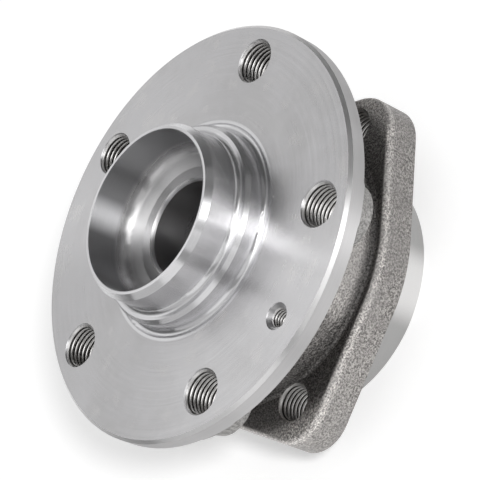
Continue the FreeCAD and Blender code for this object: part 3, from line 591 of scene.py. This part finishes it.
def close_sleeve(form, rows, hole):
    """The sleeve's two ends and its back."""
    rings = []
    for height, row in ((hole.bottom, rows[-1]), (hole.top, rows[0])):
        ring = [circle_point(form, hole.radius + BACK_DEPTH, step, height) for step in range(AROUND)]
        join_rings(form, row, ring)
        rings.append(ring)
    join_rings(form, *rings)


def paint_sleeve(mesh, spot, hole, root, steels):
    """Crests and flanks in the first steel, the countersink in the second, roots in the third, which
    is painted shade.
    """
    for steel in steels:
        mesh.materials.append(steel)
    shade_start = root - ROOT_SHADE_DEPTH * (root - hole.crest)
    for face in mesh.polygons:
        corners = [mesh.vertices[index].co for index in face.vertices]
        reach = [math.hypot(corner.x / MM - spot[0], corner.y / MM - spot[1]) for corner in corners]
        heights = [corner.z / MM for corner in corners]
        mean_reach = sum(reach) / len(reach)
        lead = lead_radius(hole, sum(heights) / len(heights))
        if mean_reach > shade_start:
            face.material_index = 2
        if max(heights) - min(heights) < hole.pitch and abs(mean_reach - lead) < LEAD_NEAR:
            face.material_index = 1


def thread_sleeve(name, spot, hole, steels, body):
    """The wall of a threaded hole, cut along the helix."""
    root = hole.radius - ROOT_GAP
    form = bmesh.new()
    rows = thread_rows(form, hole, root)
    join_rows(form, rows)
    close_sleeve(form, rows, hole)
    bmesh.ops.remove_doubles(form, verts=form.verts, dist=SAME_POINT)
    bmesh.ops.recalc_face_normals(form, faces=form.faces)
    centre = Vector((spot[0], spot[1], 0.0))
    for vertex in form.verts:
        vertex.co = (vertex.co + centre) * MM
    mesh = bpy.data.meshes.new(name)
    form.to_mesh(mesh)
    form.free()
    mesh.shade_smooth()
    sleeve = add_object(name, mesh)
    paint_sleeve(mesh, spot, hole, root, steels)
    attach(sleeve, body)


def on_circle(radius, degrees):
    turn = math.radians(degrees)
    return radius * math.cos(turn), radius * math.sin(turn)


root_shade = root_shade_material()
clean_cuts = (
    cut_material("cut_thread_steel", (0.70, 0.69, 0.68), (0.56, 0.55, 0.54), 0.22),
    cut_material("countersink_steel", (0.88, 0.87, 0.865), (0.78, 0.77, 0.765), 0.32),
    root_shade,
)
# Painted shade: the knuckle holes' thread and countersink are darker than the wheel holes'
shaded_cuts = (
    cut_material("shaded_thread_steel", (0.62, 0.61, 0.60), (0.50, 0.49, 0.48), 0.30),
    cut_material("shaded_edge_steel", (0.60, 0.59, 0.58), (0.50, 0.49, 0.48), 0.40),
    root_shade,
)
for number in range(WHEEL_HOLES):
    thread_sleeve("wheel_bolt_thread_%d" % (number + 1),
                  on_circle(BOLT_CIRCLE, 360.0 * number / WHEEL_HOLES),
                  WHEEL_HOLE, clean_cuts, "hub_set")
for number in range(KNUCKLE_HOLES):
    thread_sleeve("knuckle_bolt_thread_%d" % (number + 1),
                  on_circle(KNUCKLE_CIRCLE, KNUCKLE_ANGLE + 360.0 * number / KNUCKLE_HOLES),
                  KNUCKLE_HOLE, shaded_cuts, "outer_ring_set")
thread_sleeve("disc_screw_thread", on_circle(BOLT_CIRCLE, DISC_SCREW_ANGLE),
              DISC_SCREW_HOLE, clean_cuts, "hub_set")


# Studio: a white floor, a white surround, one soft lamp by the camera, and a light tent whose
# bright and dark panels the bare metal mirrors

TENT_RADIUS = 1.7
TENT_COLUMNS = 48
TENT_RINGS = 24
# Upright strips of the tent, round from -180 degrees: where each starts, and its level
STRIPS = [
    (-180.0, 0.56), (-168.0, 0.92), (-136.0, 0.32), (-120.0, 0.72), (-92.0, 0.34), (-76.0, 1.25),
    (-58.0, 0.17), (-32.0, 0.21), (-14.0, 0.09), (40.0, 0.46), (62.0, 0.58), (110.0, 0.12),
    (150.0, 0.56),
]
# How many degrees a strip's edge takes, and a level above all of the strips'
STRIP_EDGE = 3.0
STRIP_TOP = 1.8
# The tent's top: where it starts and where it is complete, in degrees up, and its level
CROWN_START = 50.0
CROWN_FULL = 66.0
CROWN_LEVEL = 0.42
# Round glows: azimuth and elevation of the middle, the angles where the edge starts and ends, and
# what they add. The flange face mirrors the first two, thread flanks the third, the upper edges
# of the forging the fourth, and the bolt recess the last.
GLOWS = [
    (105.0, 57.0, 5.0, 30.0, 0.80),
    (68.0, 41.0, 3.0, 11.0, 0.46),
    (0.0, 90.0, 6.0, 20.0, 0.75),
    (-60.0, 62.0, 8.0, 24.0, 2.2),
    (-66.0, 30.0, 7.0, 16.0, 1.0),
]
FLOOR_HALF = 6.0
FLOOR_GAP = 0.00002
FLOOR_PAINT = (0.90, 0.90, 0.90, 1.0)
FLOOR_GLOW = 0.26
WORLD_LIGHT = 0.62
WORLD_SEEN = 1.0


def stage_material(name):
    """A material with an empty tree but for its output."""
    material = bpy.data.materials.new(name)
    material.use_nodes = True
    graph = Graph(material.node_tree)
    graph.tree.nodes.clear()
    return material, graph, graph.node("OutputMaterial").inputs[0]


def in_view(graph):
    """1 for camera, mirrored and transmitted rays, 0 for the others."""
    path = graph.node("LightPath")
    seen = graph.most(path.outputs["Is Camera Ray"], path.outputs["Is Glossy Ray"])
    return graph.most(seen, path.outputs["Is Transmission Ray"])


def direction(azimuth, elevation):
    turn = math.radians(azimuth)
    rise = math.radians(elevation)
    return (math.cos(turn) * math.cos(rise), math.sin(turn) * math.cos(rise), math.sin(rise))


def tent_mesh():
    """A globe round the part."""
    points = [(0.0, 0.0, TENT_RADIUS), (0.0, 0.0, -TENT_RADIUS)]
    for ring in range(1, TENT_RINGS):
        rise = math.pi * ring / TENT_RINGS
        wide = TENT_RADIUS * math.sin(rise)
        for column in range(TENT_COLUMNS):
            turn = math.tau * column / TENT_COLUMNS
            points.append((wide * math.cos(turn), wide * math.sin(turn),
                           TENT_RADIUS * math.cos(rise)))
    last = 2 + (TENT_RINGS - 2) * TENT_COLUMNS
    faces = []
    for column in range(TENT_COLUMNS):
        after = (column + 1) % TENT_COLUMNS
        faces.append((0, 2 + column, 2 + after))
        faces.append((1, last + after, last + column))
        for first in range(2, last, TENT_COLUMNS):
            second = first + TENT_COLUMNS
            faces.append((first + column, second + column, second + after, first + after))
    mesh = bpy.data.meshes.new("light_tent")
    mesh.from_pydata(points, [], faces)
    return mesh


def strip_levels(graph, turn):
    """The strips' levels by azimuth, from a colour ramp that holds them as shares of the top."""
    ramp = graph.node("ValToRGB")
    stops = ramp.color_ramp.elements
    stops[0].position = 0.0
    stops[1].position = 1.0
    before = STRIPS[0][1]
    for stop in stops:
        stop.color = (before / STRIP_TOP,) * 3 + (1.0,)
    for start, amount in STRIPS[1:]:
        for degrees, strip in ((start - STRIP_EDGE / 2, before), (start + STRIP_EDGE / 2, amount)):
            stop = stops.new((degrees + 180.0) / 360.0)
            stop.color = (strip / STRIP_TOP,) * 3 + (1.0,)
        before = amount
    graph.join(graph.add(graph.math("DIVIDE", turn, math.tau), 0.5), ramp.inputs[0])
    return graph.times(ramp.outputs[0], STRIP_TOP)


def glow_level(graph, way, glow):
    azimuth, elevation, edge, end, amount = glow
    dot = graph.node("VectorMath", operation="DOT_PRODUCT")
    graph.join(way, dot.inputs[0])
    dot.inputs[1].default_value = direction(azimuth, elevation)
    share = graph.step(dot.outputs["Value"], math.cos(math.radians(end)),
                       math.cos(math.radians(edge)))
    return graph.times(share, amount)


def tent_material():
    material, graph, surface = stage_material("tent_panels")
    unit = graph.node("VectorMath", operation="NORMALIZE")
    graph.join(graph.node("TexCoord").outputs["Object"], unit.inputs[0])
    way = unit.outputs[0]
    x, y, height = graph.axes(way)
    strips = strip_levels(graph, graph.math("ARCTAN2", y, x))
    crown = graph.step(height, math.sin(math.radians(CROWN_START)),
                       math.sin(math.radians(CROWN_FULL)))
    level = graph.level(crown, strips, CROWN_LEVEL)
    for glow in GLOWS:
        level = graph.add(level, glow_level(graph, way, glow))
    emission = graph.node("Emission")
    graph.join(level, emission.inputs["Strength"])
    graph.join(emission.outputs[0], surface)
    material.cycles.emission_sampling = "NONE"
    return material


def light_tent():
    """The tent round the part, which only mirrored rays see."""
    mesh = tent_mesh()
    mesh.materials.append(tent_material())
    tent = add_object("light_tent", mesh)
    tent.visible_camera = False
    tent.visible_diffuse = False
    tent.visible_shadow = False


def floor_material():
    """White paint, with a glow that brings it to the background's white where it is seen."""
    material, graph, surface = stage_material("white_floor")
    paint = graph.node("BsdfDiffuse")
    paint.inputs["Color"].default_value = FLOOR_PAINT
    glow = graph.node("Emission")
    graph.join(graph.times(in_view(graph), FLOOR_GLOW), glow.inputs["Strength"])
    both = graph.node("AddShader")
    graph.join(paint.outputs[0], both.inputs[0])
    graph.join(glow.outputs[0], both.inputs[1])
    graph.join(both.outputs[0], surface)
    return material


def studio_floor():
    """The floor lies just under the spigot's end, on which the part stands."""
    height = min(vertex.co.z for vertex in nodes["outer_ring"].data.vertices) - FLOOR_GAP
    corners = [(-FLOOR_HALF, -FLOOR_HALF, height), (FLOOR_HALF, -FLOOR_HALF, height),
               (FLOOR_HALF, FLOOR_HALF, height), (-FLOOR_HALF, FLOOR_HALF, height)]
    mesh = bpy.data.meshes.new("floor")
    mesh.from_pydata(corners, [], [(0, 1, 2, 3)])
    mesh.materials.append(floor_material())
    floor = add_object("floor", mesh)


def white_surround():
    """An even white world: full white where it is seen, and a plain level as a light."""
    world = bpy.data.worlds.new("surround")
    bpy.context.scene.world = world
    world.use_nodes = True
    graph = Graph(world.node_tree)
    background = graph.tree.nodes["Background"]
    background.inputs["Color"].default_value = (1.0, 1.0, 1.0, 1.0)
    strength = graph.spread(in_view(graph), 0.0, 1.0, WORLD_LIGHT, WORLD_SEEN)
    graph.join(strength, background.inputs["Strength"])


white_surround()
light_tent()
studio_floor()


# Camera, solved from the rim and hole positions of the photograph

CAMERA_PLACE = Vector((-0.04241279, -0.51823388, 0.38858819))
CAMERA_RIGHT = Vector((0.35300229, -0.59797372, -0.71959489))
CAMERA_DOWN = Vector((-0.93307442, -0.16827291, -0.31789362))
CAMERA_FORWARD = Vector((0.06900370, 0.78365276, -0.61735471))
SENSOR_WIDTH = 36.0
FOCAL_LENGTH = 158.097

lens = bpy.data.cameras.new("camera")
lens.sensor_width = SENSOR_WIDTH
lens.lens = FOCAL_LENGTH
camera = add_object("camera", lens)
camera_turn = Matrix((CAMERA_RIGHT, -CAMERA_DOWN, -CAMERA_FORWARD)).transposed()
camera.matrix_world = Matrix.Translation(CAMERA_PLACE) @ camera_turn.to_4x4()
bpy.context.scene.camera = camera


# The soft lamp stands a little above and to the right of the camera, so the shadow falls to the
# lower left. The metal doesn't mirror it.

LAMP_ABOVE = 0.12
LAMP_RIGHT = 0.09
LAMP_DISTANCE = 1.15
LAMP_SIZE = 0.16
LAMP_POWER = 8.5
LAMP_AIM = Vector((0.0, 0.0, -0.03))


def soft_lamp(place):
    light = bpy.data.lights.new("key_lamp", "AREA")
    light.shape = "DISK"
    light.size = LAMP_SIZE
    light.energy = LAMP_POWER
    lamp = add_object("key_lamp", light)
    lamp.location = place
    lamp.rotation_mode = "QUATERNION"
    lamp.rotation_quaternion = (LAMP_AIM - place).to_track_quat("-Z", "Y")
    lamp.visible_glossy = False


lamp_way = -CAMERA_FORWARD - CAMERA_DOWN * LAMP_ABOVE + CAMERA_RIGHT * LAMP_RIGHT
soft_lamp(lamp_way.normalized() * LAMP_DISTANCE)

scene = bpy.context.scene
scene.view_settings.view_transform = "Standard"
